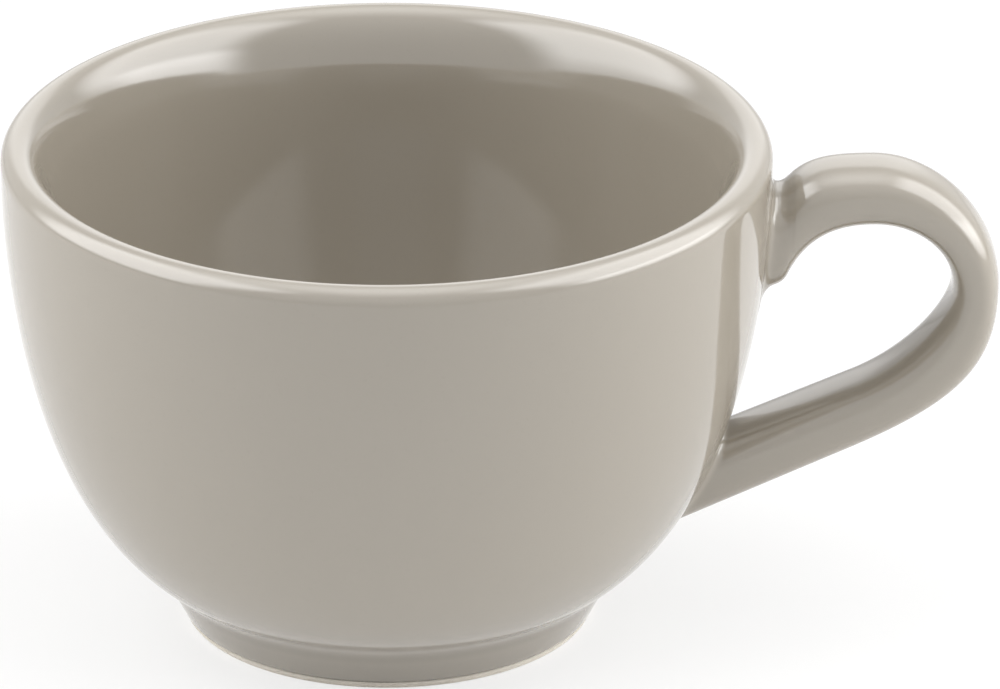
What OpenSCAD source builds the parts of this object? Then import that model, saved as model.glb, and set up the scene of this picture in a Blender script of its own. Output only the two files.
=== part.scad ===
// Cappuccino cup: a glazed stoneware bowl on a flared foot ring, with a strap handle luted to its side.
// The cup stands on Z = 0 with its axis along Z, and the handle points along +X. Lengths in millimetres.

/* [Bowl] */

// Outside diameter at the rim
rim_d = 96; // [92:0.5:102]
// Height from the table to the crown of the lip
cup_h = 63.2; // [61:0.1:67]
// Thickness of the rounded lip
lip_t = 4.2; // [3.4:0.1:4.8]
// Thickness of the wall at the foot of the lip's inner slope
wall_t = 6; // [5.2:0.1:6.8]
// Drop from the crown of the lip to the foot of its inner slope
slope_drop = 6.4; // [5.6:0.1:7.2]
// Lean of the inner slope from upright at its foot, in degrees
slope_lean = 14.5; // [12:0.5:17]
// Pull of the inner slope's curve at the crown
crown_pull = 2.3; // [1.9:0.1:2.7]
// Pull of the inner slope's curve at its foot
slope_pull = 3.2; // [2.6:0.1:3.8]
// Pull of the inner wall's curve below the slope
inner_pull = 8; // [6:0.5:10]
// Thickness of the floor over the foot recess
floor_t = 4; // [3:0.1:5]
// Radius of the flat of the floor
floor_r = 12; // [9:0.5:15]
// Pull of the inner wall's curve where it runs into the floor
floor_pull = 28; // [25:0.5:30]
// Rise of the wall above level where it leaves the cove, in degrees
swell_rise = 40; // [36:0.2:44]
// Pull of the wall's curve where it leaves the cove
low_pull = 15.8; // [13:0.2:19]
// Pull of the wall's curve below the lip
high_pull = 18.6; // [15:0.2:23]

/* [Foot ring] */

// Diameter that the foot's outer side would have at the table
foot_d = 51; // [49:0.2:53]
// Height of the foot ring
foot_h = 4; // [3.4:0.1:4.6]
// Width of the ring at the table
foot_t = 4; // [3.2:0.1:5]
// Outward run of the ring's outer side over its rise
flare_share = 0.51; // [0.42:0.01:0.6]
// Inward run of the ring's inner side over its rise
recess_share = 0.25; // [0.1:0.01:0.4]
// Bevel along the edges of the standing face
foot_bevel = 0.3; // [0.2:0.1:0.6]
// Rise from the top of the ring to the crease where the cove begins
crease_rise = 1.2; // [0.8:0.1:1.8]
// Rise of the cove from the crease to the wall
cove_rise = 3.3; // [2.6:0.1:4]
// Outward run of the cove from the crease to the wall
cove_out = 3.4; // [2.6:0.1:4.2]
// Share of the cove over which each end pulls its curve
cove_share = 0.4; // [0.3:0.01:0.5]

/* [Handle] */

// How far the handle stands out beyond the rim
reach = 28.4; // [26:0.2:33]
// Drop from the crown of the lip to the handle's outermost point
loop_drop = 19.1; // [18:0.1:21]
// Thickness of the strap at its outermost point
loop_t = 5.9; // [5:0.1:7]
// Distance of the arch's top beyond the rim
arch_out = 12.6; // [11.5:0.1:14]
// Drop from the crown of the lip to the arch's top
arch_drop = 2.9; // [1.5:0.1:4]
// Thickness of the strap at the arch's top
arch_t = 7.6; // [6.8:0.1:8.8]
// Width of the strap from front to back
strap_w = 11.2; // [9:0.1:13]
// Squareness of the strap's section
strap_power = 2.6; // [2:0.1:3.6]
// How far the stub at the upper root stands out beyond the rim
stub_out = 1.3; // [1:0.1:2]
// Drop from the crown of the lip to the stub's upper edge
stub_drop = 6.4; // [5.6:0.1:7.4]
// Height of the stub
stub_h = 12.4; // [11.4:0.1:13.6]
// Rise of the strap's outer edge where it leaves the stub, in degrees
outer_lift = 46; // [42:1:54]
// Rise of the strap's inner edge where it leaves the stub, in degrees
inner_lift = 71; // [64:1:74]
// Share of the wall's curve, up from the foot, where the arm's outer edge meets it
arm_low_share = 0.09; // [0.07:0.005:0.12]
// Share of the wall's curve, up from the foot, where the arm's inner edge meets it
arm_high_share = 0.36; // [0.33:0.005:0.39]
// Drop from the outermost point to the corner that the arm's outer edge points at
outer_bend_drop = 13.3; // [11.5:0.1:15]
// Drop from the outermost point to the corner that the arm's inner edge points at
inner_bend_drop = 7.9; // [6.8:0.1:9]
// Share of the arm's outer edge, up to its corner, that runs straight
outer_arm_share = 0.56; // [0.5:0.01:0.62]
// Share of the arm's inner edge, up to its corner, that runs straight
inner_arm_share = 0.58; // [0.52:0.01:0.64]
// Share of its corner by which the outer edge rounds into the arch
outer_arch_share = 0.82; // [0.7:0.01:0.88]
// Share of its corner by which the inner edge rounds into the arch
inner_arch_share = 0.68; // [0.58:0.01:0.78]
// Share of its corner by which the outer edge rounds out of the arch
outer_loop_share = 0.51; // [0.43:0.01:0.59]
// Share of its corner by which the inner edge rounds out of the arch
inner_loop_share = 0.56; // [0.48:0.01:0.64]
// Share of its corner by which the outer edge rounds into the arm
outer_bend_share = 0.77; // [0.68:0.01:0.84]
// Share of its corner by which the inner edge rounds into the arm
inner_bend_share = 0.51; // [0.43:0.01:0.6]

/* [Slip joints] */

// Thickness of the slip bed between the bowl and the handle
slip_t = 0.8; // [0.7:0.05:1]

/* [Glaze] */

// Thickness of the glaze coats
glaze_t = 0.4; // [0.3:0.05:0.5]
// Height of the bare band above the table
bare_h = 1; // [0.9:0.1:1.6]
// Spread of the glaze that pools round the handle's upper root
upper_spread = 1.8; // [1:0.1:2.2]
// Spread of the glaze that pools round the handle's lower root
lower_spread = 0.7; // [0.5:0.1:1.2]
// Length of the pooled glaze along the lower arm
pool_run = 2.6; // [2:0.1:4]

/* [Hidden] */

clay_tone = [0.90, 0.87, 0.82];
slip_tone = [0.70, 0.67, 0.61];
glaze_tone = [0.62, 0.60, 0.55];

turn_steps = 180;
seam_turn = 180;
wall_steps = 32;
cove_steps = 8;
lip_steps = 8;
slope_steps = 10;
inner_steps = 36;
strap_sides = 28;
middle_share = 1/2;
even_share = 2/3;

rim_r = rim_d/2;
lip_r = lip_t/2;
lip_h = cup_h - lip_r;
lip_mid = [rim_r - lip_r, lip_h];
lip_top = lip_mid + [0, lip_r];
crease_h = foot_h + crease_rise;
crease = [side_r(crease_h), crease_h];
swell = crease + [cove_out, cove_rise];
swell_way = [cos(swell_rise), sin(swell_rise)];
wall_curve = [swell, swell + low_pull*swell_way, [rim_r, lip_h - high_pull], [rim_r, lip_h]];

floor_h = foot_h + floor_t;
slope_way = [sin(slope_lean), cos(slope_lean)];
slope_foot = [rim_r - wall_t, cup_h - slope_drop];
slope_curve = [lip_top, lip_top - [crown_pull, 0], slope_foot + slope_pull*slope_way, slope_foot];
inner_curve = [slope_foot, slope_foot - inner_pull*slope_way, [floor_r + floor_pull, floor_h],
               [floor_r, floor_h]];

flare_way = unit([flare_share, 1]);
flare_slant = norm([flare_share, 1]);
recess_slant = norm([recess_share, 1]);
cove_pull = cove_share*norm(swell - crease);
cove_curve = [crease, crease + cove_pull*flare_way, swell - cove_pull*swell_way, swell];

root_in = wall_t;
stub_end = rim_r + stub_out;
outer_stub_h = cup_h - stub_drop;
inner_stub_h = outer_stub_h - stub_h;
loop_h = cup_h - loop_drop;
arch_h = cup_h - arch_drop;

outer_edge = strap_edge(outer_stub_h, outer_lift, [rim_r + arch_out, arch_h], rim_r + reach,
                        outer_bend_drop, arm_low_share, outer_arm_share,
                        outer_arch_share, outer_loop_share, outer_bend_share);
inner_edge = strap_edge(inner_stub_h, inner_lift, [rim_r + arch_out, arch_h - arch_t],
                        rim_r + reach - loop_t, inner_bend_drop, arm_high_share, inner_arm_share,
                        inner_arch_share, inner_loop_share, inner_bend_share);

// Stretches of the strap: run-in, stub, arch, loop, bend, arm, run-in
stretch_steps = [1, 4, 12, 14, 14, 12, 1];
stub_from = 1;
stub_to = 2;
arm_from = 5;
arm_to = 6;
strap_to = 7;
arm_l = norm(edge_at(inner_edge, arm_to) - edge_at(inner_edge, arm_from));
pool_share = pool_run/arm_l;

function unit(v) = v/norm(v);
function right_of(v) = [v.y, -v.x];
function mix(p, q, share) = p + (q - p)*share;
function reversed(list) = [for (i = [len(list) - 1:-1:0]) list[i]];

function curve_at(c, t) =
    pow(1 - t, 3)*c[0] + 3*pow(1 - t, 2)*t*c[1] + 3*(1 - t)*t*t*c[2] + pow(t, 3)*c[3];
function way_at(c, t) =
    unit(pow(1 - t, 2)*(c[1] - c[0]) + 2*(1 - t)*t*(c[2] - c[1]) + t*t*(c[3] - c[2]));
function beside(c, t, out) = curve_at(c, t) + out*right_of(way_at(c, t));

// Radius of the foot's outer side and of its recess at a height
function side_r(h) = foot_d/2 + flare_share*h;
function recess_r(h) = foot_d/2 - foot_t - recess_share*h;

// Share of the wall's curve at a height, found by halving
function wall_share(h, low = 0, high = 1, halvings = 24) =
    let (mid = (low + high)/2)
    halvings == 0 ? mid
    : curve_at(wall_curve, mid).y < h ? wall_share(h, mid, high, halvings - 1)
    : wall_share(h, low, mid, halvings - 1);

// Outer quarter of the lip, moved out by a thickness
function lip_arc(out) =
    [for (i = [1:lip_steps])
        let (a = 90*i/lip_steps)
        lip_mid + (lip_r + out)*[cos(a), sin(a)]];

// Outside of the cup from the foot ring up to the crown, moved out by a thickness
function outside(out) = concat(
    [[side_r(foot_h) + out*flare_slant, foot_h]],
    [for (i = [0:cove_steps]) beside(cove_curve, i/cove_steps, out)],
    [for (i = [1:wall_steps]) beside(wall_curve, i/wall_steps, out)],
    lip_arc(out));

// Inside of the cup from the crown down to the axis, moved in by a thickness
function inside(out) = concat(
    [for (i = [1:slope_steps]) beside(slope_curve, i/slope_steps, out)],
    [for (i = [1:inner_steps]) beside(inner_curve, i/inner_steps, out)],
    [[0, floor_h + out]]);

function crown(out) = [lip_top + [0, out]];

function rounded(p, corner, q, share) = [p, mix(p, corner, share), mix(q, corner, share), q];
function straight(p, q) = rounded(p, mix(p, q, middle_share), q, even_share);

// One edge of the strap as a chain of curves in the X-Z plane, from the upper root to the lower root
function strap_edge(stub_z, lift, arch, outmost, bend_drop, foot_share, arm_share,
                    arch_share, loop_share, bend_share) =
    let (wall = curve_at(wall_curve, wall_share(stub_z)),
         stub = [stub_end, stub_z],
         arch_corner = [stub_end + (arch.y - stub_z)/tan(lift), arch.y],
         loop = [outmost, loop_h],
         foot = curve_at(wall_curve, foot_share),
         bend_corner = [outmost, loop_h - bend_drop],
         arm = mix(foot, bend_corner, arm_share))
    [straight([wall.x - root_in, stub_z], wall),
     straight(wall, stub),
     rounded(stub, arch_corner, arch, arch_share),
     rounded(arch, [outmost, arch.y], loop, loop_share),
     rounded(loop, bend_corner, arm, bend_share),
     straight(arm, foot),
     straight(foot, foot - root_in*unit(bend_corner - foot))];

function edge_at(edge, u) = let (k = min(floor(u), len(edge) - 1)) curve_at(edge[k], u - k);

function round_out(c) = sign(c)*pow(abs(c), 2/strap_power);

// Section of the strap at a station, grown by a thickness all round
function ring(u, grow) =
    let (o = edge_at(outer_edge, u),
         i = edge_at(inner_edge, u),
         mid = mix(o, i, middle_share),
         across = unit(o - i))
    [for (k = [0:strap_sides - 1])
        let (a = 360*k/strap_sides,
             p = mid + across*(norm(o - i)/2 + grow)*round_out(cos(a)))
        [p.x, (strap_w/2 + grow)*round_out(sin(a)), p.y]];

function stations(from, to) = concat(
    [from],
    [for (k = [0:len(stretch_steps) - 1])
        for (j = [0:stretch_steps[k] - 1])
            let (u = k + j/stretch_steps[k])
            if (u > from && u < to) u],
    [to]);

// Spread of the pooled glaze at a station
function pool(u) =
    let (upper = (stub_to - max(u, stub_from))/(stub_to - stub_from),
         lower = (min(u, arm_to) - arm_to)/pool_share + 1)
    upper_spread*pow(max(upper, 0), 2) + lower_spread*pow(max(lower, 0), 2);

function band(i, next) =
    [for (k = [0:strap_sides - 1])
        let (m = (k + 1)%strap_sides)
        each [[i*strap_sides + k, i*strap_sides + m, next*strap_sides + m],
              [i*strap_sides + k, next*strap_sides + m, next*strap_sides + k]]];

// A solid through a row of sections, closed at both ends
module loft(rings) {
    last = len(rings) - 1;
    polyhedron(
        points = [for (r = rings) each r],
        faces = concat(
            [[for (k = [strap_sides - 1:-1:0]) k]],
            [for (i = [0:last - 1]) each band(i, i + 1)],
            [[for (k = [0:strap_sides - 1]) last*strap_sides + k]]));
}

// A sleeve through a closed row of sections
module sleeve(rings) {
    polyhedron(
        points = [for (r = rings) each r],
        faces = [for (i = [0:len(rings) - 1]) each band(i, (i + 1)%len(rings))]);
}

// A turned solid, with the seam of its faces opposite the handle
module turned(points) {
    rotate([0, 0, seam_turn]) rotate_extrude($fn = turn_steps) polygon(points);
}

// The bowl as a full block, for fitting pieces against its outside
module bowl_block(out) {
    turned(concat([[0, foot_h]], outside(out), [[0, cup_h + out]]));
}

module strap(from, to, grow) {
    loft([for (u = stations(from, to)) ring(u, grow)]);
}

module bowl() {
    color(clay_tone) turned(concat([[0, foot_h]], outside(-glaze_t), inside(-glaze_t)));
}

module foot_ring() {
    glazed = glaze_t*flare_slant;
    color(clay_tone) turned([
        [recess_r(0) + foot_bevel, 0],
        [side_r(0) - foot_bevel, 0],
        [side_r(foot_bevel), foot_bevel],
        [side_r(bare_h), bare_h],
        [side_r(bare_h) - glazed, bare_h],
        [side_r(foot_h) - glazed, foot_h],
        [recess_r(foot_h), foot_h],
        [recess_r(foot_bevel), foot_bevel]]);
}

module handle() {
    color(clay_tone) difference() {
        strap(0, strap_to, -glaze_t);
        bowl_block(slip_t - glaze_t);
    }
}

// The part of the strap that lies in the slip bed
module slip_bed(from, to) {
    color(slip_tone) difference() {
        intersection() {
            strap(from, to, -glaze_t);
            bowl_block(slip_t - glaze_t);
        }
        bowl_block(-glaze_t);
    }
}

module upper_slip() {
    slip_bed(0, stub_to);
}

module lower_slip() {
    slip_bed(arm_from, strap_to);
}

module outer_glaze() {
    color(glaze_tone) difference() {
        turned(concat(outside(0), reversed(outside(-glaze_t))));
        strap(0, stub_to, -glaze_t);
        strap(arm_from, strap_to, -glaze_t);
    }
}

module inner_glaze() {
    color(glaze_tone)
        turned(concat(crown(0), inside(0), reversed(inside(-glaze_t)), crown(-glaze_t)));
}

module handle_glaze() {
    along = stations(0, strap_to);
    color(glaze_tone) difference() {
        sleeve(concat(
            [for (u = along) ring(u, pool(u))],
            [for (u = reversed(along)) ring(u, -glaze_t)]));
        bowl_block(0);
    }
}

module foot_glaze() {
    glazed = glaze_t*flare_slant;
    color(glaze_tone) turned([
        [side_r(bare_h) - glazed, bare_h],
        [side_r(bare_h), bare_h],
        [side_r(foot_h), foot_h],
        [side_r(foot_h) - glazed, foot_h]]);
}

module base_glaze() {
    glazed = glaze_t*recess_slant;
    under_h = foot_h - glaze_t;
    color(glaze_tone) turned([
        [0, foot_h],
        [0, under_h],
        [recess_r(under_h) - glazed, under_h],
        [recess_r(bare_h) - glazed, bare_h],
        [recess_r(bare_h), bare_h],
        [recess_r(foot_h), foot_h]]);
}

bowl();
foot_ring();
handle();
upper_slip();
lower_slip();
outer_glaze();
inner_glaze();
handle_glaze();
foot_glaze();
base_glaze();
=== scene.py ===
"""Looks of a cappuccino cup: a taupe glaze over stoneware, with a bare foot, on a pale studio floor."""

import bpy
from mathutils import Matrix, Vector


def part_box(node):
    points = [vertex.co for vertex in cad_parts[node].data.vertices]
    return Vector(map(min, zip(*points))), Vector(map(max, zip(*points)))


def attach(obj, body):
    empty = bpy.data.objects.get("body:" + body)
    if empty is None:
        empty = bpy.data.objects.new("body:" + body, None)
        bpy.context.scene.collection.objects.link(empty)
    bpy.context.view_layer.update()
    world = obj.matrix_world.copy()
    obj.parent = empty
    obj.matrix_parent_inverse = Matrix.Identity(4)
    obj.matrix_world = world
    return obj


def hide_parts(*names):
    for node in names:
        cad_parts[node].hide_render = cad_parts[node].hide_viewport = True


bl_info = {
    "name": "Cappuccino Cup",
    "version": (1, 0, 0),
    "blender": (4, 5, 0),
    "location": "View3D > Sidebar > Cup",
    "description": "Glazes the cup, turns its foot, sweeps its handle and sets up the studio",
    "category": "Object",
}

import math
from bisect import bisect

import bmesh
import bpy
from bpy.props import FloatProperty, FloatVectorProperty, IntProperty, PointerProperty
from mathutils import Matrix, Vector
from mathutils.geometry import interpolate_bezier

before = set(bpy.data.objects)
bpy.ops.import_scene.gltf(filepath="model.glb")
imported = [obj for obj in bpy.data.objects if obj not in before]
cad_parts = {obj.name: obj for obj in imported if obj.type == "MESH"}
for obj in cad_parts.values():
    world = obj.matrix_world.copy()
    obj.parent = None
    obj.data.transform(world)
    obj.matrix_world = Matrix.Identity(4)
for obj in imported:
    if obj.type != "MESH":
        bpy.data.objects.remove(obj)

BODY = "root"
WHITE = (1, 1, 1, 1)

# Camera: the photo's width in pixels, the sensor's width in millimetres and the nearest distance in view.
PHOTO_W = 1000
SENSOR_W = 36.0
NEAREST = 0.01

# Pull of a curve towards its corner, for a quarter circle and for a glaze fillet.
ROUND_PULL = 0.5523
FILLET_PULL = 2 / 3

# Search for the wall's surface, and the gap under which two points are one.
SLOPE_STEP = 1e-4
HALVINGS = 48
LEAST_RISE = 1e-9
MERGE_GAP = 1e-6

# In thicknesses of the glaze: a fillet's least rise off the wall and the tuck of the bare foot's top.
FILLET_RISE = 0.05
FOOT_TUCK = 1.2

# Glaze: its gloss, then where it is lighter on the lip, from thinner glaze and partly a painted highlight,
# or darker in the crease, from pooled glaze and partly painted shade, and how far its tone and its skin
# vary.
GLAZE_IOR = 1.9
GLAZE_ROUGH = 0.05
GLAZE_ROUGH_RANGE = 0.05
LIP_BAND = 0.0011
LIP_OVER = 0.0001
THIN_AND_HIGHLIGHT_SHARE = 0.55
POOL_AND_SHADE_REACH = 0.0012
POOL_AND_SHADE_SHARE = 0.5
CLOUD_SHARE = 0.55
EVEN_SHARE = 0.82
SPECK_RANGE = (0.66, 0.74)
SPECK_SHARE = 0.10
RIPPLE_DEPTH = 0.00006
SKIN_SHARE = 0.05

# Clay: its matte finish, and how far the sandy grain and a soft cloud vary it.
CLAY_ROUGH = 0.72
CLAY_ROUGH_RANGE = 0.2
SAND_RANGE = (0.48, 0.72)
SAND_SHARE = 0.45
SAND_STRENGTH = 0.5
SAND_DEPTH = 0.00008
CLAY_CLOUD_SHARE = 0.25

# Floor: its half width, its cells, its darker mottle and the distances over which it turns plain white.
FLOOR_REACH = 4.0
FLOOR_CELLS = 4
MOTTLE_SHADE = 0.985
WHITE_RANGE = (0.14, 0.36)

# Sizes of the solids.
COAT_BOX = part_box("outer_glaze")
LOOP_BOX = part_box("handle_glaze")
FOOT_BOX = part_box("foot_ring")
SKIRT_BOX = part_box("foot_glaze")
RIM_R = -COAT_BOX[0].x
CUP_H = COAT_BOX[1].z
FOOT_H = FOOT_BOX[1].z
BARE_H = SKIRT_BOX[0].z
FOOT_TOP_R = SKIRT_BOX[1].x
LOOP_X = LOOP_BOX[1].x


def length(name, description, default):
    """A length in metres."""
    return FloatProperty(name=name, description=description, default=default, unit="LENGTH", precision=5)


def share(name, description, default):
    """A share from none to all."""
    return FloatProperty(
        name=name, description=description, default=default, subtype="FACTOR", min=0.0, max=1.0
    )


def angle(name, description, degrees):
    """An angle, given in degrees."""
    return FloatProperty(name=name, description=description, default=math.radians(degrees), subtype="ANGLE")


def tone(name, description, default):
    """A colour."""
    return FloatVectorProperty(
        name=name, description=description, default=default, subtype="COLOR", min=0.0, max=1.0
    )


def glow(name, description, default):
    """The strength of a light."""
    return FloatProperty(name=name, description=description, default=default, min=0.0)


def steps(name, description, default):
    """A count, three at least."""
    return IntProperty(name=name, description=description, default=default, min=3)


class BowlShape(bpy.types.PropertyGroup):
    """Outline of the bowl and its glaze"""

    lip_t: length("Lip", "Thickness of the rounded lip", 0.0042)
    wall_t: length("Wall", "Thickness of the wall at the foot of the lip's inner slope", 0.006)
    slope_drop: length("Slope drop", "Drop from the crown of the lip to the foot of its inner slope", 0.0064)
    slope_lean: angle("Slope lean", "Lean of the inner slope from upright at its foot", 14.5)
    crown_pull: length("Crown pull", "Pull of the inner slope's curve at the crown", 0.0023)
    slope_pull: length("Slope pull", "Pull of the inner slope's curve at its foot", 0.0032)
    inner_pull: length("Inner pull", "Pull of the inner wall's curve below the slope", 0.008)
    floor_h: length("Floor", "Height of the glazed floor above the table", 0.008)
    coat_t: length("Glaze", "Thickness of the glaze coat", 0.00038)
    crease_rise: length("Crease", "Rise from the foot ring to the crease under the bowl", 0.0012)
    cove_rise: length("Cove rise", "Rise of the cove above the crease", 0.0033)
    cove_out: length("Cove run", "Outward run of the cove", 0.0034)
    cove_pull: length("Cove pull", "Pull of the cove's curve at both ends", 0.0019)
    swell_rise: angle("Swell", "Rise of the wall where it leaves the cove", 40.0)
    low_pull: length("Low pull", "Pull of the wall's curve at the cove", 0.0158)
    high_pull: length("High pull", "Pull of the wall's curve below the lip", 0.0186)
    floor_r: length("Floor flat", "Radius of the flat of the floor", 0.012)
    floor_pull: length("Floor pull", "Pull of the inner wall's curve where it runs into the floor", 0.028)
    bead_r: length("Bead", "Radius of the glaze's rolled edge above the bare band", 0.0003)
    around: steps("Around", "Facets around the cup", 208)
    along: steps("Along", "Facets along the wall", 56)
    fine: steps("Fine", "Points along the wall where the handle's fillets meet it", 400)
    roll: steps("Roll", "Facets along each quarter of the lip", 14)
    edge: steps("Edge", "Facets along small roundings", 6)


class HandleShape(bpy.types.PropertyGroup):
    """Outline of the strap handle"""

    strap_w: length("Width", "Width of the strap from front to back", 0.0112)
    strap_power: FloatProperty(
        name="Squareness", description="Squareness of the strap's section, 2 for an ellipse", default=2.8
    )
    stub_out: length("Stub", "How far the stub at the upper root stands out beyond the rim", 0.0013)
    stub_drop: length("Stub drop", "Drop from the lip to the stub's upper edge", 0.0064)
    stub_h: length("Stub height", "Height of the stub", 0.0124)
    outer_lift: angle("Outer lift", "Rise of the outer edge where it leaves the stub", 46.0)
    inner_lift: angle("Inner lift", "Rise of the inner edge where it leaves the stub", 71.0)
    arch_out: length("Arch", "Distance of the arch's top beyond the rim", 0.0126)
    arch_drop: length("Arch drop", "Drop from the lip to the arch's top", 0.0029)
    arch_t: length("Arch thickness", "Thickness of the strap at the arch's top", 0.0076)
    loop_drop: length("Loop drop", "Drop from the lip to the outermost point", 0.0191)
    loop_t: length("Loop thickness", "Thickness of the strap at its outermost point", 0.0059)
    outer_bend_drop: length("Outer bend", "Drop from the outermost point to the outer edge's corner", 0.0133)
    inner_bend_drop: length("Inner bend", "Drop from the outermost point to the inner edge's corner", 0.0079)
    outer_foot_share: share("Outer foot", "Share of the wall's curve where the outer edge meets it", 0.09)
    inner_foot_share: share("Inner foot", "Share of the wall's curve where the inner edge meets it", 0.36)
    outer_arm_share: share("Outer arm", "Share of the arm's outer edge that runs straight", 0.56)
    inner_arm_share: share("Inner arm", "Share of the arm's inner edge that runs straight", 0.58)
    outer_arch_share: share("Outer arch corner", "Rounding of the outer edge into the arch", 0.82)
    inner_arch_share: share("Inner arch corner", "Rounding of the inner edge into the arch", 0.68)
    outer_loop_share: share("Outer loop corner", "Rounding of the outer edge out of the arch", 0.51)
    inner_loop_share: share("Inner loop corner", "Rounding of the inner edge out of the arch", 0.56)
    outer_bend_share: share("Outer bend corner", "Rounding of the outer edge into the arm", 0.77)
    inner_bend_share: share("Inner bend corner", "Rounding of the inner edge into the arm", 0.51)
    upper_fillet: length("Upper fillet", "Run of the glaze fillet round the upper root", 0.0012)
    under_fillet: length("Under fillet", "Run of the fillet down the wall under the upper root", 0.0040)
    under_run: length("Under run", "Run of the fillet along the stub's underside", 0.0019)
    stub_use: share("Stub use", "Most of the stub's length that a fillet may take", 0.94)
    lower_fillet: length("Lower fillet", "Run of the fillet above and below the lower root", 0.0014)
    side_fillet: length("Side fillet", "Run of the fillet at the sides of the lower root", 0.0020)
    sink: length("Sink", "Depth of the fillet's edge in the bowl's glaze", 0.0002)
    sides: steps("Sides", "Facets around the strap", 64)
    stations: steps("Stations", "Facets along each stretch of the strap", 40)
    fillet_steps: steps("Fillet steps", "Facets along each fillet", 12)
    easing: steps("Easing", "Passes that ease the corner between the stub and the arch", 6)


class FootShape(bpy.types.PropertyGroup):
    """Outline of the foot ring and the recess under the base"""

    flare_share: share("Flare", "Outward run of the foot's side over its rise", 0.51)
    ring_t: length("Ring", "Width of the foot ring at the table", 0.004)
    recess_share: share("Recess taper", "Inward run of the recess over its rise", 0.25)
    edge_r: length("Edge", "Rounding of the standing face's edges", 0.0003)
    cove_r: length("Recess cove", "Radius of the glaze in the recess's corner", 0.0015)


class CupTones(bpy.types.PropertyGroup):
    """Colours of the cup and the stage"""

    glaze: tone("Glaze", "Glaze at its full thickness", (0.320, 0.288, 0.238))
    # Lighter glaze for the lip: thinner glaze there, and partly a painted highlight.
    thin_and_highlight: tone("Thin glaze", "Glaze where it thins over an edge", (0.362, 0.328, 0.276))
    # Darker glaze for the crease under the bowl: pooled glaze there, and partly painted shade.
    pooled_and_shade: tone("Pooled glaze", "Glaze where it pools in a corner", (0.260, 0.232, 0.190))
    clay: tone("Clay", "Bare fired clay", (0.800, 0.750, 0.670))
    grain: tone("Clay grain", "Dark grain in the clay", (0.660, 0.610, 0.530))
    floor: tone("Floor", "Floor of the studio", (0.960, 0.960, 0.960))
    floor_white: share("Floor white", "How far the floor near the cup is plain white to the eye", 0.65)


class StudioSet(bpy.types.PropertyGroup):
    """Camera and lamps of the studio"""

    eye_back: length("Eye distance", "Distance of the camera in front of the cup's axis", 1.16276)
    eye_h: length("Eye height", "Height of the camera above the floor", 0.54305)
    yaw: angle("Yaw", "Turn of the camera to the right", 0.694)
    pitch: angle("Pitch", "Tilt of the camera down", 23.581)
    roll: angle("Roll", "Roll of the camera", 0.067)
    focus_px: FloatProperty(
        name="Focal length", description="Focal length in pixels of the picture", default=10127.8
    )
    left: glow("Left", "Brightness of the left softbox", 2.85)
    right: glow("Right", "Brightness of the right softbox", 2.75)
    top: glow("Top", "Brightness of the overhead softbox", 1.4)
    front: glow("Front", "Brightness of the softbox above the camera", 0.2)
    back: glow("Back", "Brightness of the back panel", 0.8)
    card: glow("Card", "Brightness of the card beside the handle", 1.8)
    side_fade: share("Side fade", "Share of a side or back lamp's width that fades to an edge", 0.28)
    far_fade: share("Far fade", "Share of the top or front softbox's width that fades to an edge", 0.5)
    sky: glow("Sky", "Strength of the even light all round", 0.13)


class CupSettings(bpy.types.PropertyGroup):
    """All the settings of the cup"""

    bowl: PointerProperty(type=BowlShape)
    handle: PointerProperty(type=HandleShape)
    foot: PointerProperty(type=FootShape)
    tones: PointerProperty(type=CupTones)
    studio: PointerProperty(type=StudioSet)


class Wire:
    """A socket of a node tree. Arithmetic on it adds Math nodes."""

    def __init__(self, tree, socket=None):
        self.tree = tree
        self.socket = socket

    def node(self, kind, settings=None, inputs=None, output=0):
        """Adds a node, sets it up, fills or links its inputs and returns one of its outputs."""
        made = self.tree.nodes.new(kind)
        for name, value in (settings or {}).items():
            setattr(made, name, value)
        for name, value in (inputs or {}).items():
            if isinstance(value, Wire):
                self.tree.links.new(value.socket, made.inputs[name])
            else:
                made.inputs[name].default_value = value
        return Wire(self.tree, made.outputs[output] if made.outputs else None)

    def math(self, operation, first, second):
        """A Math node on two values."""
        return self.node("ShaderNodeMath", {"operation": operation}, {0: first, 1: second})

    def __add__(self, other):
        return self.math("ADD", self, other)

    __radd__ = __add__

    def __sub__(self, other):
        return self.math("SUBTRACT", self, other)

    def __rsub__(self, other):
        return self.math("SUBTRACT", other, self)

    def __mul__(self, other):
        return self.math("MULTIPLY", self, other)

    __rmul__ = __mul__

    def __abs__(self):
        return self.math("ABSOLUTE", self, 0.0)

    def between(self, low, high):
        """A smooth mask that rises from 0 to 1 as the value goes from low to high."""
        return self.node(
            "ShaderNodeMapRange",
            {"interpolation_type": "SMOOTHSTEP"},
            {"Value": self, "From Min": low, "From Max": high},
        )

    def blend(self, factor, first, second):
        """A mix of two colours. These sockets share their names with others, so they go by number."""
        return self.node(
            "ShaderNodeMix", {"data_type": "RGBA"}, {"Factor": factor, 6: first, 7: second}, 2
        )

    def tint(self, first, second):
        """The first colour where the value is 0 and the second where it is 1."""
        return self.blend(self, first, second)


def rgba(colour):
    """A colour with full opacity."""
    return (*colour, 1.0)


def new_material(name):
    """An empty material and the wire of its node tree."""
    material = bpy.data.materials.new(name)
    material.use_nodes = True
    material.node_tree.nodes.clear()
    return material, Wire(material.node_tree)


def close_material(material, wire, surface):
    """Links a surface to the material's output."""
    wire.node("ShaderNodeOutputMaterial", None, {"Surface": surface})
    return material


def noise(wire, place, scale, detail, roughness=0.5):
    """A soft random value at a place."""
    return wire.node(
        "ShaderNodeTexNoise",
        None,
        {"Vector": place, "Scale": scale, "Detail": detail, "Roughness": roughness},
    )


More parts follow.
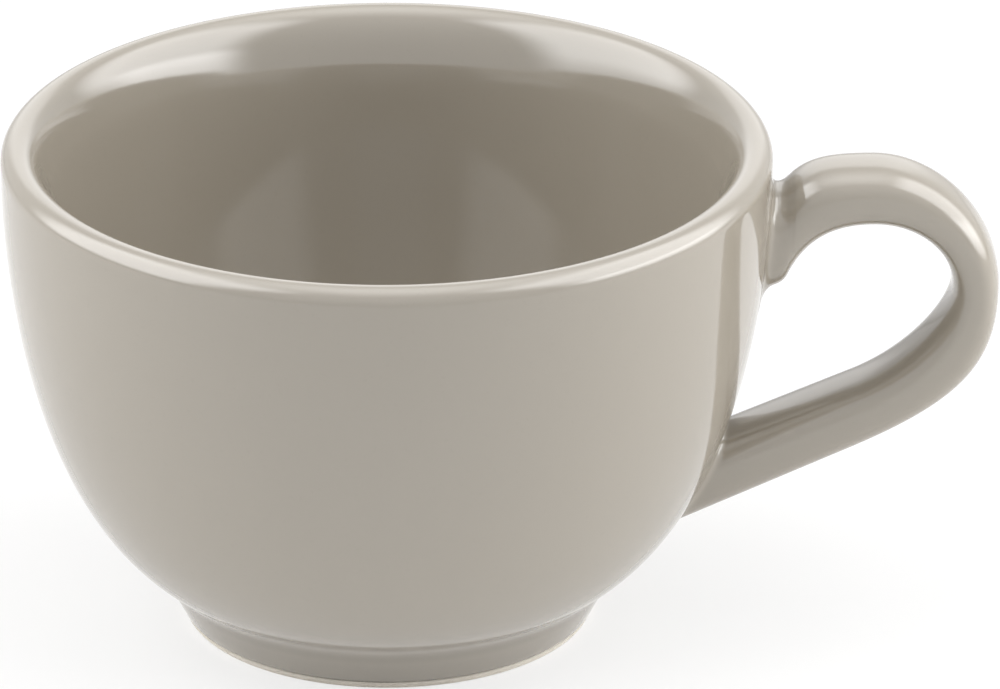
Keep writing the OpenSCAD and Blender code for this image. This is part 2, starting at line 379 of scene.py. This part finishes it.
def glaze_finish(name, tones, bowl):
    """A glossy glaze, lighter on the lip where it thins and as a painted highlight, darker in the crease
    where it pools and as painted shade, with a faint ripple and specks.
    """
    material, wire = new_material(name)
    place = wire.node("ShaderNodeTexCoord", output="Object")
    height = wire.node("ShaderNodeSeparateXYZ", None, {0: place}, "Z")
    cloud = noise(wire, place, scale=34.0, detail=3.0)
    ripple = noise(wire, place, scale=75.0, detail=1.0)
    skin = noise(wire, place, scale=620.0, detail=2.0)
    specks = noise(wire, place, scale=1500.0, detail=1.0)
    crease_h = FOOT_H + bowl.crease_rise
    # Lighter towards the lip's crown: thinner glaze, and partly a painted highlight on the lip.
    thin_and_highlight = height.between(CUP_H - LIP_BAND, CUP_H + LIP_OVER) * THIN_AND_HIGHLIGHT_SHARE
    # Darker near the crease under the bowl: pooled glaze, and partly painted shade in the crease.
    pooled_and_shade = (1.0 - abs(height - crease_h).between(0.0, POOL_AND_SHADE_REACH)) * POOL_AND_SHADE_SHARE
    thin_and_highlight_tone, pooled_and_shade_tone = rgba(tones.thin_and_highlight), rgba(tones.pooled_and_shade)
    body = ((cloud - 0.5) * CLOUD_SHARE + 0.5).tint(pooled_and_shade_tone, thin_and_highlight_tone)
    body = wire.blend(EVEN_SHARE, body, rgba(tones.glaze))
    body = thin_and_highlight.tint(body, thin_and_highlight_tone)
    body = pooled_and_shade.tint(body, pooled_and_shade_tone)
    body = (specks.between(*SPECK_RANGE) * SPECK_SHARE).tint(body, pooled_and_shade_tone)
    bump = wire.node(
        "ShaderNodeBump",
        None,
        {"Strength": 1.0, "Distance": RIPPLE_DEPTH, "Height": ripple + skin * SKIN_SHARE},
    )
    surface = wire.node(
        "ShaderNodeBsdfPrincipled",
        None,
        {
            "Base Color": body,
            "Roughness": cloud * GLAZE_ROUGH_RANGE + GLAZE_ROUGH,
            "IOR": GLAZE_IOR,
            "Normal": bump,
        },
    )
    return close_material(material, wire, surface)


def clay_finish(name, tones):
    """Matte fired clay with a fine sandy grain."""
    material, wire = new_material(name)
    place = wire.node("ShaderNodeTexCoord", output="Object")
    cloud = noise(wire, place, scale=120.0, detail=3.0)
    sand = noise(wire, place, scale=1800.0, detail=3.0, roughness=0.7)
    grain = sand.between(*SAND_RANGE) * SAND_SHARE + cloud * CLAY_CLOUD_SHARE
    body = grain.tint(rgba(tones.clay), rgba(tones.grain))
    bump = wire.node(
        "ShaderNodeBump",
        None,
        {"Strength": SAND_STRENGTH, "Distance": SAND_DEPTH, "Height": sand},
    )
    surface = wire.node(
        "ShaderNodeBsdfPrincipled",
        None,
        {"Base Color": body, "Roughness": cloud * CLAY_ROUGH_RANGE + CLAY_ROUGH, "Normal": bump},
    )
    return close_material(material, wire, surface)


def ray(wire, kind):
    """One for a kind of ray, and none for the others."""
    return wire.node("ShaderNodeLightPath", output=kind)


def seen_ray(wire):
    """One for a ray from the eye, straight or by way of a reflection or glass, and none for other light."""
    return ray(wire, "Is Camera Ray") + ray(wire, "Is Glossy Ray") + ray(wire, "Is Transmission Ray")


def floor_finish(name, tones):
    """A pale matte floor, nearly white to the eye and in reflections, that keeps the shadow near the cup."""
    material, wire = new_material(name)
    place = wire.node("ShaderNodeTexCoord", output="Object")
    mottle = noise(wire, place, scale=6.0, detail=2.0)
    body = mottle.tint(rgba([c * MOTTLE_SHADE for c in tones.floor]), rgba(tones.floor))
    matte = wire.node("ShaderNodeBsdfDiffuse", None, {"Color": body})
    white = wire.node("ShaderNodeEmission", None, {"Color": WHITE, "Strength": 1.0})
    distance = wire.node("ShaderNodeVectorMath", {"operation": "LENGTH"}, {0: place}, "Value")
    far = ray(wire, "Is Camera Ray") * distance.between(*WHITE_RANGE)
    whiteness = seen_ray(wire) * tones.floor_white + far * (1.0 - tones.floor_white)
    surface = wire.node("ShaderNodeMixShader", None, {0: whiteness, 1: matte, 2: white})
    return close_material(material, wire, surface)


def at(r, z):
    """A point of an outline, at a radius and a height."""
    return Vector((r, 0.0, z))


def mixed(first, second, amount):
    """A value or a point on the way from the first to the second."""
    return first + (second - first) * amount


def chain(*stretches):
    """One list of points through stretches that meet end to end."""
    points = list(stretches[0])
    for stretch in stretches[1:]:
        points += stretch[1:]
    return points


def straight(start, end, count):
    """Points along a straight stretch."""
    return interpolate_bezier(start, mixed(start, end, 1 / 3), mixed(start, end, 2 / 3), end, count)


def corner(start, tip, end, amount, count):
    """Points from start to end along a curve that is pulled towards a corner."""
    return interpolate_bezier(start, mixed(start, tip, amount), mixed(end, tip, amount), end, count + 1)


def foot_side(foot, z):
    """Radius of the foot's outer side at a height."""
    return FOOT_TOP_R - foot.flare_share * (FOOT_H - z)


def swell_way(bowl):
    """Way of the wall where it leaves the cove."""
    return at(math.cos(bowl.swell_rise), math.sin(bowl.swell_rise))


def crease_point(bowl, foot):
    """Point of the crease under the bowl."""
    z = FOOT_H + bowl.crease_rise
    return at(foot_side(foot, z), z)


def wall_curve(bowl, foot):
    """Ends and pulls of the wall's outer curve, from the cove to the lip."""
    low = crease_point(bowl, foot) + at(bowl.cove_out, bowl.cove_rise)
    high = at(RIM_R, CUP_H - bowl.lip_t / 2)
    return low, low + swell_way(bowl) * bowl.low_pull, high - at(0, bowl.high_pull), high


def outer_outline(bowl, foot, along):
    """Points of the coat's outside, from the bare band up to the lip."""
    crease = crease_point(bowl, foot)
    flare_way = at(foot.flare_share, 1.0).normalized()
    bead = bowl.bead_r
    edge = at(foot_side(foot, BARE_H), BARE_H)
    start = at(foot_side(foot, BARE_H + bead), BARE_H + bead)
    wall = wall_curve(bowl, foot)
    cove_end = wall[0] - swell_way(bowl) * bowl.cove_pull
    return chain(
        corner(edge - at(bowl.coat_t, 0), edge, start, ROUND_PULL, bowl.edge),
        straight(start, crease, bowl.edge),
        interpolate_bezier(crease, crease + flare_way * bowl.cove_pull, cove_end, wall[0], bowl.roll),
        interpolate_bezier(*wall, along),
    )


def slope_foot(bowl):
    """Foot of the lip's inner slope and the way up the slope there."""
    way = at(math.sin(bowl.slope_lean), math.cos(bowl.slope_lean))
    return at(RIM_R - bowl.wall_t, CUP_H - bowl.slope_drop), way


def inner_outline(bowl):
    """Points of the coat's inside, from the foot of the lip's slope down to the axis."""
    start, way = slope_foot(bowl)
    flat = at(bowl.floor_r, bowl.floor_h)
    pull = flat + at(bowl.floor_pull, 0)
    return chain(
        interpolate_bezier(start, start - way * bowl.inner_pull, pull, flat, bowl.along * 2),
        [flat, at(0, bowl.floor_h)],
    )


def lip_outline(bowl):
    """Points over the lip, from the outside to the foot of its inner slope."""
    r = bowl.lip_t / 2
    crown = at(RIM_R - r, CUP_H)
    foot, way = slope_foot(bowl)
    return chain(
        corner(at(RIM_R, CUP_H - r), at(RIM_R, CUP_H), crown, ROUND_PULL, bowl.roll),
        interpolate_bezier(
            crown, crown - at(bowl.crown_pull, 0), foot + way * bowl.slope_pull, foot, bowl.roll * 2
        ),
    )


class Wall:
    """The coat's outer surface, as a radius over height."""

    def __init__(self, bowl, foot):
        outline = outer_outline(bowl, foot, bowl.fine)
        self.points = sorted(outline, key=lambda p: p.z)
        self.heights = [p.z for p in self.points]
        self.lift = bowl.coat_t * FILLET_RISE

    def radius(self, z):
        """Radius at a height."""
        k = min(max(bisect(self.heights, z), 1), len(self.heights) - 1)
        low, high = self.points[k - 1], self.points[k]
        return low.x + (high.x - low.x) * (z - low.z) / max(high.z - low.z, LEAST_RISE)

    def normal(self, p):
        """Outward way of the surface at a point."""
        slope = (self.radius(p.z + SLOPE_STEP) - self.radius(p.z - SLOPE_STEP)) / (2 * SLOPE_STEP)
        around = math.atan2(p.y, p.x)
        return Vector((math.cos(around), math.sin(around), -slope)).normalized()

    def outside(self, p):
        """The point itself, or a point just above the surface if it lies under it."""
        r = math.hypot(p.x, p.y)
        least = self.radius(p.z) + self.lift
        return p if r >= least else Vector((p.x * least / r, p.y * least / r, p.z))

    def met_by(self, start, way):
        """The point where a line meets the surface, found by halving."""
        low, high = 0.0, RIM_R
        for _ in range(HALVINGS):
            middle = (low + high) / 2
            p = start + way * middle
            if math.hypot(p.x, p.y) > self.radius(p.z):
                low = middle
            else:
                high = middle
        return start + way * high

    def under(self, p, depth):
        """A point of the surface at a point's height and bearing, and some way in."""
        r = (self.radius(p.z) - depth) / math.hypot(p.x, p.y)
        return Vector((p.x * r, p.y * r, p.z))


def new_piece(name, bm, material, nodes):
    """A smooth piece that rides on the cup and stands for some of its solids."""
    for face in bm.faces:
        face.smooth = True
    mesh = bpy.data.meshes.new(name)
    bm.to_mesh(mesh)
    bm.free()
    mesh.materials.append(material)
    piece = bpy.data.objects.new(name, mesh)
    bpy.context.scene.collection.objects.link(piece)
    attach(piece, BODY)
    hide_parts(*nodes)
    return piece


def thicken(piece, thickness):
    """Gives a skin its thickness, inwards from its faces."""
    shell = piece.modifiers.new("thickness", "SOLIDIFY")
    shell.thickness = thickness
    shell.offset = -1.0
    shell.use_even_offset = True


def spun(points, around, closed=False):
    """A surface turned about the cup's axis from an outline."""
    bm = bmesh.new()
    verts = [bm.verts.new(p) for p in points]
    pairs = list(zip(verts, verts[1:]))
    if closed:
        pairs.append((verts[-1], verts[0]))
    edges = [bm.edges.new(pair) for pair in pairs]
    bmesh.ops.spin(
        bm,
        geom=verts + edges,
        cent=(0, 0, 0),
        axis=(0, 0, 1),
        angle=math.tau,
        steps=around,
        use_merge=True,
    )
    bmesh.ops.remove_doubles(bm, verts=bm.verts[:], dist=MERGE_GAP)
    bmesh.ops.recalc_face_normals(bm, faces=bm.faces[:])
    return bm


def strap_edge(stub, lift, arch, loop, bend, foot, shares, count):
    """Points along one edge of the strap, from the stub to the arm, and its foot on the wall."""
    arch_share, loop_share, bend_share, arm_share = shares
    arch_tip = at(stub.x + (arch.z - stub.z) / math.tan(lift), arch.z)
    bend_tip = at(loop.x, bend)
    arm = mixed(foot, bend_tip, arm_share)
    return chain(
        corner(stub, arch_tip, arch, arch_share, count),
        corner(arch, at(loop.x, arch.z), loop, loop_share, count),
        corner(loop, bend_tip, arm, bend_share, count),
    ), foot


def strap_edges(handle, wall):
    """Both edges of the strap, outer and inner, each with its foot on the wall."""
    stub_x = RIM_R + handle.stub_out
    arch_x = RIM_R + handle.arch_out
    stub_h = CUP_H - handle.stub_drop
    arch_h = CUP_H - handle.arch_drop
    loop_h = CUP_H - handle.loop_drop

    def foot(amount):
        """Point of the wall's curve where an edge meets it."""
        return sum((w * p for w, p in zip(bernstein(amount), wall)), Vector())

    outer = strap_edge(
        at(stub_x, stub_h),
        handle.outer_lift,
        at(arch_x, arch_h),
        at(LOOP_X, loop_h),
        loop_h - handle.outer_bend_drop,
        foot(handle.outer_foot_share),
        (handle.outer_arch_share, handle.outer_loop_share, handle.outer_bend_share, handle.outer_arm_share),
        handle.stations,
    )
    inner = strap_edge(
        at(stub_x, stub_h - handle.stub_h),
        handle.inner_lift,
        at(arch_x, arch_h - handle.arch_t),
        at(LOOP_X - handle.loop_t, loop_h),
        loop_h - handle.inner_bend_drop,
        foot(handle.inner_foot_share),
        (handle.inner_arch_share, handle.inner_loop_share, handle.inner_bend_share, handle.inner_arm_share),
        handle.stations,
    )
    return outer, inner


def bernstein(t):
    """Shares of a curve's four points at a place along it."""
    s = 1 - t
    return s ** 3, 3 * s * s * t, 3 * s * t * t, t ** 3


def squared(value, exponent):
    """A sine or cosine for a section that is squarer than an ellipse."""
    return math.copysign(abs(value) ** (2 / exponent), value)


def section(outer, inner, ring, handle):
    """Places of a ring of points on the strap's section between its two edges."""
    middle = (outer + inner) / 2
    half = (outer - inner) / 2
    half_w = Vector((0, handle.strap_w / 2, 0))
    n = handle.strap_power
    return [middle + half * squared(c, n) + half_w * squared(s, n) for c, s in ring]


def fillet_rings(starts, ways, runs, wall, handle):
    """Rings that carry the strap's skin down to the bowl and out along it in a fillet."""
    middle = sum(starts, Vector()) / len(starts)
    profiles = []
    for k, (start, way) in enumerate(zip(starts, ways)):
        meet = wall.met_by(start, way)
        normal = wall.normal(meet)
        tangent = starts[(k + 1) % len(starts)] - starts[k - 1]
        out = way.cross(tangent).normalized()
        if out.dot(start - middle) < 0:
            out = -out
        along = (out - normal * out.dot(normal)).normalized()
        up_run, down_run = runs(along)
        top = meet - way * min(up_run, handle.stub_use * (meet - start).length)
        end = wall.under(meet + along * down_run, 0.0)
        profile = [wall.outside(p) for p in corner(top, meet, end, FILLET_PULL, handle.fillet_steps)]
        profile.append(wall.under(end, handle.sink))
        profiles.append(profile)
    return [list(ring) for ring in zip(*profiles)]


def extend(bm, ring, places):
    """Extrudes a ring of points and moves the new ring to its places."""
    number = {vert: k for k, vert in enumerate(ring)}
    edges = [bm.edges.get((ring[k - 1], ring[k])) for k in range(len(ring))]
    made = bmesh.ops.extrude_edge_only(bm, edges=edges)["geom"]
    new_ring = [None] * len(ring)
    for vert in (g for g in made if isinstance(g, bmesh.types.BMVert)):
        for edge in vert.link_edges:
            k = number.get(edge.other_vert(vert))
            if k is not None:
                new_ring[k] = vert
                vert.co = places[k]
    return new_ring


def strap_path(handle, bowl, foot, ring):
    """Rings of points along the strap and both its fillets, and how many the upper fillet has."""
    wall = Wall(bowl, foot)
    (outer, outer_foot), (inner, inner_foot) = strap_edges(handle, wall_curve(bowl, foot))
    rings = [section(o, i, ring, handle) for o, i in zip(outer, inner)]
    feet = section(outer_foot, inner_foot, ring, handle)

    def upper_runs(along):
        """Runs of the fillet up the stub and along the wall, longer under the stub."""
        under = max(0.0, -along.z) ** 2
        return (
            mixed(handle.upper_fillet, handle.under_run, under),
            mixed(handle.upper_fillet, handle.under_fillet, under),
        )

    def lower_runs(along):
        """Runs of the fillet up the arm and along the wall, longer at the arm's sides."""
        run = mixed(handle.lower_fillet, handle.side_fillet, abs(along.y))
        return run, run

    inward = [Vector((-1, 0, 0))] * handle.sides
    upper = fillet_rings(rings[0], inward, upper_runs, wall, handle)
    arm_ways = [(f - s).normalized() for s, f in zip(rings[-1], feet)]
    lower = fillet_rings(rings[-1], arm_ways, lower_runs, wall, handle)
    arm = [
        [mixed(s, e, k / handle.stations) for s, e in zip(rings[-1], lower[0])]
        for k in range(1, handle.stations)
    ]
    return upper[::-1] + rings[1:] + arm + lower, len(upper)


def recess_side(foot, z):
    """Radius of the recess's side at a height."""
    return foot_side(foot, 0.0) - foot.ring_t - foot.recess_share * z


def bare_foot_outline(bowl, foot):
    """Points round the bare foot's section, from the recess over the standing face to its top."""
    edge = foot.edge_r
    table_r = foot_side(foot, 0.0)
    recess_r = recess_side(foot, 0.0)
    inner_edge = at(recess_r + edge, 0)
    outer_edge = at(table_r - edge, 0)
    side_edge = at(foot_side(foot, edge), edge)
    band = at(foot_side(foot, BARE_H), BARE_H)
    ledge = band - at(bowl.coat_t, 0)
    top = at(foot_side(foot, FOOT_H) - FOOT_TUCK * bowl.coat_t, FOOT_H)
    return chain(
        corner(at(recess_side(foot, edge), edge), at(recess_r, 0), inner_edge, ROUND_PULL, bowl.edge),
        [inner_edge, outer_edge],
        corner(outer_edge, at(table_r, 0), side_edge, ROUND_PULL, bowl.edge),
        [side_edge, band, ledge, top, at(recess_side(foot, FOOT_H), FOOT_H)],
    )


def recess_outline(bowl, foot):
    """Points of the glaze in the recess, from its rolled edge to the axis."""
    coat = bowl.coat_t
    bead_h = BARE_H + bowl.bead_r
    under = FOOT_H - coat
    cove_h = under - foot.cove_r
    bare_r = recess_side(foot, BARE_H)
    side = recess_side(foot, under) - coat
    bead = at(recess_side(foot, bead_h) - coat, bead_h)
    cove_low = at(recess_side(foot, cove_h) - coat, cove_h)
    cove_high = at(side - foot.cove_r, under)
    return chain(
        corner(at(bare_r, BARE_H), at(bare_r - coat, BARE_H), bead, ROUND_PULL, bowl.edge),
        [bead, cove_low],
        corner(cove_low, at(side, under), cove_high, ROUND_PULL, bowl.roll),
        [cove_high, at(0, under)],
    )


class CUP_OT_glaze_coat(bpy.types.Operator):
    """Turn the glaze coat over the foot, the wall, the lip and the inside of the bowl"""

    bl_idname = "cup.glaze_coat"
    bl_label = "Glaze coat"

    def execute(self, context):
        cup = context.scene.cup
        bowl, foot = cup.bowl, cup.foot
        outline = chain(
            outer_outline(bowl, foot, bowl.along),
            lip_outline(bowl),
            inner_outline(bowl),
        )
        bm = spun(outline, bowl.around)
        finish = glaze_finish("taupe_glaze", cup.tones, bowl)
        coat = new_piece("glaze_coat", bm, finish, ("outer_glaze", "inner_glaze", "foot_glaze"))
        thicken(coat, bowl.coat_t)
        return {"FINISHED"}


class CUP_OT_handle_skin(bpy.types.Operator):
    """Sweep the glaze skin of the handle between its two fillets"""

    bl_idname = "cup.handle_skin"
    bl_label = "Handle skin"

    def execute(self, context):
        cup = context.scene.cup
        handle, bowl = cup.handle, cup.bowl
        bm = bmesh.new()
        row = bmesh.ops.create_circle(bm, segments=handle.sides, radius=1.0)["verts"]
        ring = [(vert.co.x, vert.co.y) for vert in row]
        path, stub_end = strap_path(handle, bowl, cup.foot, ring)
        for vert, place in zip(row, path[0]):
            vert.co = place
        eased, seams = [], []
        for k, places in enumerate(path[1:], 1):
            row = extend(bm, row, places)
            if abs(k - stub_end) < handle.easing:
                eased += row
            if k in (1, len(path) - 2):
                seams += [bm.edges.get((row[n - 1], row[n])) for n in range(handle.sides)]
        for _ in range(handle.easing):
            bmesh.ops.smooth_vert(
                bm, verts=eased, factor=0.5, use_axis_x=True, use_axis_y=True, use_axis_z=True
            )
        for seam in seams:
            seam.smooth = False
        bmesh.ops.recalc_face_normals(bm, faces=bm.faces[:])
        finish = bpy.data.materials["taupe_glaze"]
        skin = new_piece("handle_skin", bm, finish, ("handle_glaze",))
        thicken(skin, bowl.coat_t)
        return {"FINISHED"}


class CUP_OT_foot(bpy.types.Operator):
    """Turn the bare foot ring and the glaze in the recess under the base"""

    bl_idname = "cup.foot"
    bl_label = "Foot"

    def execute(self, context):
        cup = context.scene.cup
        bowl, foot = cup.bowl, cup.foot
        clay = clay_finish("bare_clay", cup.tones)
        bm = spun(bare_foot_outline(bowl, foot), bowl.around, closed=True)
        new_piece("bare_foot", bm, clay, ("foot_ring",))
        bm = spun(recess_outline(bowl, foot), bowl.around)
        # The recess is seen from below, so its faces are turned inwards.
        bmesh.ops.reverse_faces(bm, faces=bm.faces[:])
        base = new_piece("base_coat", bm, bpy.data.materials["taupe_glaze"], ("base_glaze",))
        thicken(base, bowl.coat_t)
        return {"FINISHED"}


class CUP_OT_clay_core(bpy.types.Operator):
    """Give the clay and slip under the glaze their finish"""

    bl_idname = "cup.clay_core"
    bl_label = "Clay core"

    def execute(self, context):
        clay = bpy.data.materials["bare_clay"]
        for node in ("bowl", "handle", "upper_slip", "lower_slip"):
            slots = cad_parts[node].data.materials
            slots.clear()
            slots.append(clay)
        return {"FINISHED"}


def softbox(name, place, spread, distance, brightness, fade):
    """A soft-edged lamp at a bearing and a rise, as wide and as high to the cup as its spread.

    Place and spread are two angles each, in degrees.
    """
    bearing, rise = map(math.radians, place)
    level = distance * math.cos(rise)
    way = Vector((level * math.cos(bearing), level * math.sin(bearing), distance * math.sin(rise)))
    lamp = bpy.data.lights.new(name, "AREA")
    lamp.shape = "RECTANGLE"
    lamp.size, lamp.size_y = (2 * distance * math.tan(math.radians(wide) / 2) for wide in spread)
    lamp.energy = math.pi * lamp.size * lamp.size_y * brightness
    lamp.use_nodes = True
    lamp.node_tree.nodes.clear()
    wire = Wire(lamp.node_tree)
    spot = wire.node("ShaderNodeNewGeometry", output="Parametric")
    mask = 1.0
    for axis in ("X", "Y"):
        across = wire.node("ShaderNodeSeparateXYZ", None, {0: spot}, axis)
        mask = (1.0 - abs(across * 2.0 - 1.0)).between(0.0, 2.0 * fade) * mask
    glowing = wire.node("ShaderNodeEmission", None, {"Strength": mask})
    wire.node("ShaderNodeOutputLight", None, {"Surface": glowing})
    box = bpy.data.objects.new(name, lamp)
    box.location = Vector((0, 0, CUP_H / 2)) + way
    box.rotation_euler = (-way).to_track_quat("-Z", "Y").to_euler()
    box.visible_camera = False
    bpy.context.scene.collection.objects.link(box)


def lay_floor(scene, tones):
    """The wide floor under the cup."""
    bm = bmesh.new()
    bmesh.ops.create_grid(bm, x_segments=FLOOR_CELLS, y_segments=FLOOR_CELLS, size=FLOOR_REACH)
    mesh = bpy.data.meshes.new("floor")
    bm.to_mesh(mesh)
    bm.free()
    mesh.materials.append(floor_finish("pale_floor", tones))
    floor = bpy.data.objects.new("floor", mesh)
    scene.collection.objects.link(floor)


def fill_air(scene, studio):
    """The even light all round, which is white to the eye and in reflections."""
    world = bpy.data.worlds.new("studio_air")
    world.use_nodes = True
    world.node_tree.nodes.clear()
    wire = Wire(world.node_tree)
    bright = studio.sky + seen_ray(wire) * (1.0 - studio.sky)
    air = wire.node("ShaderNodeBackground", None, {"Color": WHITE, "Strength": bright})
    wire.node("ShaderNodeOutputWorld", None, {"Surface": air})
    scene.world = world


def set_camera(scene, studio):
    """The camera at the photo's viewing angle."""
    lens = bpy.data.cameras.new("photo_camera")
    lens.sensor_width = SENSOR_W
    lens.sensor_fit = "HORIZONTAL"
    lens.lens = studio.focus_px * SENSOR_W / PHOTO_W
    lens.clip_start = NEAREST
    camera = bpy.data.objects.new("photo_camera", lens)
    camera.matrix_world = (
        Matrix.Translation((0.0, -studio.eye_back, studio.eye_h))
        @ Matrix.Rotation(-studio.yaw, 4, "Z")
        @ Matrix.Rotation(math.pi / 2 - studio.pitch, 4, "X")
        @ Matrix.Rotation(studio.roll, 4, "Z")
    )
    scene.collection.objects.link(camera)
    scene.camera = camera


class CUP_OT_studio(bpy.types.Operator):
    """Set up the floor, the lamps, the even light and the camera"""

    bl_idname = "cup.studio"
    bl_label = "Studio"

    def execute(self, context):
        scene = context.scene
        studio = scene.cup.studio
        lay_floor(scene, scene.cup.tones)
        # Name, bearing and rise, spread across and up, distance, brightness and fade.
        for lamp in (
            ("left_softbox", (184, 36), (80, 74), 0.6, studio.left, studio.side_fade),
            ("right_softbox", (-4, 36), (80, 74), 0.6, studio.right, studio.side_fade),
            ("top_softbox", (90, 86), (84, 84), 0.9, studio.top, studio.far_fade),
            ("front_softbox", (-90, 44), (96, 76), 1.0, studio.front, studio.far_fade),
            ("back_panel", (88, 22), (60, 36), 1.0, studio.back, studio.side_fade),
            ("handle_card", (-12, 12), (64, 26), 0.28, studio.card, studio.side_fade),
        ):
            softbox(*lamp)
        fill_air(scene, studio)
        set_camera(scene, studio)
        scene.view_settings.view_transform = "Standard"
        return {"FINISHED"}


class CUP_PT_panel(bpy.types.Panel):
    """The cup's pieces, in the order in which they are made"""

    bl_idname = "CUP_PT_panel"
    bl_label = "Cappuccino Cup"
    bl_space_type = "VIEW_3D"
    bl_region_type = "UI"
    bl_category = "Cup"

    def draw(self, context):
        for piece in PIECES:
            self.layout.operator(piece.bl_idname)
        for group in ("bowl", "handle", "foot", "tones", "studio"):
            box = self.layout.box()
            box.label(text=group.capitalize())
            settings = getattr(context.scene.cup, group)
            for name in settings.__annotations__:
                box.prop(settings, name)


PIECES = (
    CUP_OT_glaze_coat,
    CUP_OT_handle_skin,
    CUP_OT_foot,
    CUP_OT_clay_core,
    CUP_OT_studio,
)
CLASSES = (BowlShape, HandleShape, FootShape, CupTones, StudioSet, CupSettings, *PIECES, CUP_PT_panel)


def register():
    for item in CLASSES:
        bpy.utils.register_class(item)
    bpy.types.Scene.cup = PointerProperty(type=CupSettings)


def unregister():
    del bpy.types.Scene.cup
    for item in reversed(CLASSES):
        bpy.utils.unregister_class(item)


def main():
    """Registers the classes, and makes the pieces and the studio."""
    register()
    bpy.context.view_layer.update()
    bpy.ops.cup.glaze_coat()
    bpy.ops.cup.handle_skin()
    bpy.ops.cup.foot()
    bpy.ops.cup.clay_core()
    bpy.ops.cup.studio()


if __name__ == "__main__":
    main()
